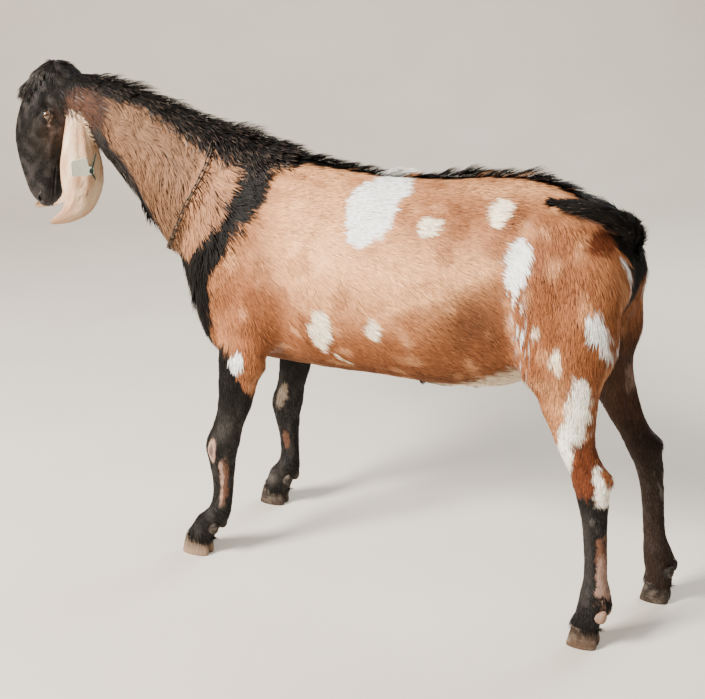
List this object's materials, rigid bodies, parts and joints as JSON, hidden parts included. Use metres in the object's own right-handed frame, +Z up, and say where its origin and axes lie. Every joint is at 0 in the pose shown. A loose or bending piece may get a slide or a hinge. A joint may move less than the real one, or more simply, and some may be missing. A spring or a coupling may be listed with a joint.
{
  "type": "nubian goat",
  "caption": "Still life-size model of a Nubian goat: lean long-legged body, Roman nose, long hanging ears, a mane on the crest and a flicked tail, with a chain round the neck and an ear tag.",
  "frame": {"origin": "on the floor under the middle of the bounding box", "axes": "+X towards the head, +Y towards the goat's left, +Z up"},
  "size_m": [1.4838, 0.3436, 1.0452],
  "materials": {
    "dark_hair": "short black hair",
    "tan_hair": "tan hair with black and white marks",
    "horn": "dull hoof horn",
    "eye": "wet and glossy, with a level slit pupil",
    "ear_skin": "thin hair over pink skin",
    "chain_metal": "worn dark metal",
    "tag_plastic": "soft plastic"
  },
  "bodies": {
    "root": {"head": "dark_hair", "neck": "tan_hair", "foreleg_left_upper": "tan_hair", "foreleg_left_lower": "dark_hair", "foreleg_right_upper": "tan_hair", "foreleg_right_lower": "dark_hair", "hindleg_left_upper": "tan_hair", "hindleg_left_lower": "dark_hair", "hindleg_right_upper": "tan_hair", "hindleg_right_lower": "dark_hair", "chest": "tan_hair", "rump": "tan_hair", "barrel": "tan_hair", "foreleg_left_claw_left": "horn", "foreleg_left_dewclaw_left": "horn", "foreleg_left_claw_right": "horn", "foreleg_left_dewclaw_right": "horn", "foreleg_right_claw_left": "horn", "foreleg_right_dewclaw_left": "horn", "foreleg_right_claw_right": "horn", "foreleg_right_dewclaw_right": "horn", "hindleg_left_claw_left": "horn", "hindleg_left_dewclaw_left": "horn", "hindleg_left_claw_right": "horn", "hindleg_left_dewclaw_right": "horn", "hindleg_right_claw_left": "horn", "hindleg_right_dewclaw_left": "horn", "hindleg_right_claw_right": "horn", "hindleg_right_dewclaw_right": "horn", "eye_left": "eye", "ear_left": "ear_skin", "eye_right": "eye", "ear_right": "ear_skin", "tail": "dark_hair", "chain_collar": "chain_metal", "tag_ear": "tag_plastic"}
  },
  "joints": []
}
